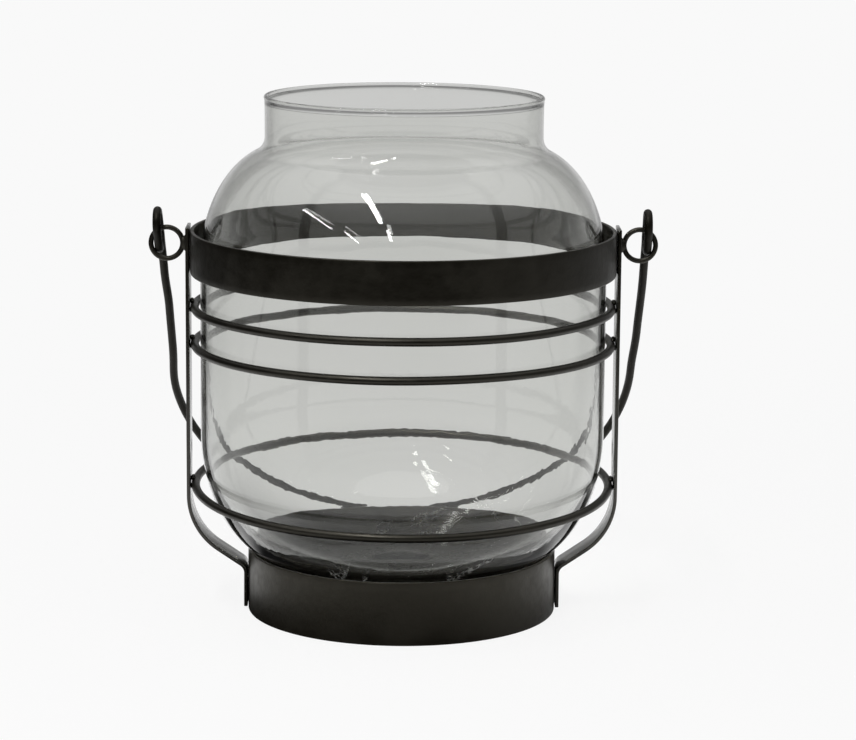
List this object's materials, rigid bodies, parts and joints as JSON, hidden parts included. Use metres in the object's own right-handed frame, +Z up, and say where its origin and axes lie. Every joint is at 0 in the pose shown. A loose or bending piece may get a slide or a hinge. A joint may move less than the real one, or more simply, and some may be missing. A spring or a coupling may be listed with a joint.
{
  "type": "jar lantern with bail handle",
  "caption": "Open blown-glass jar standing in a welded iron cage of flat bands and wire rings, with a swinging wire bail.",
  "frame": {"origin": "centre of the base band's underside, on the table", "axes": "+Z up through the jar's mouth; +X from the left strap and eye to the right ones, as seen from the front; the bail leans back towards +Y at rest"},
  "size_m": [0.2388, 0.2596, 0.2444],
  "materials": {
    "glass": "clear blown glass with a faint grey-green cast, slightly wavy",
    "iron": "dark bronze-black satin lacquer on iron",
    "weld": "lacquered weld beads, slightly rough",
    "wire": "dark bronze-black satin lacquer on drawn wire"
  },
  "bodies": {
    "cage": {"base_band": "iron", "base_plate": "iron", "strap_left": "iron", "strap_right": "iron", "top_band": "iron", "ring_upper": "iron", "ring_middle": "iron", "ring_lower": "iron", "eye_left": "iron", "eye_right": "iron", "eye_welds": "weld", "ring_welds": "weld"},
    "jar": {"glass_jar": "glass"},
    "bail": {"bail_handle": "wire"}
  },
  "joints": [
    {"name": "bail_swing", "type": "hinge", "parent": "cage", "child": "bail", "pos_m": [0, 0, 0.1815], "axis": [1, 0, 0], "range_deg": [0, 277]},
    {"name": "jar_lift", "type": "slide", "parent": "cage", "child": "jar", "axis": [0, 0, 1], "range_m": [0, 0.19]}
  ]
}
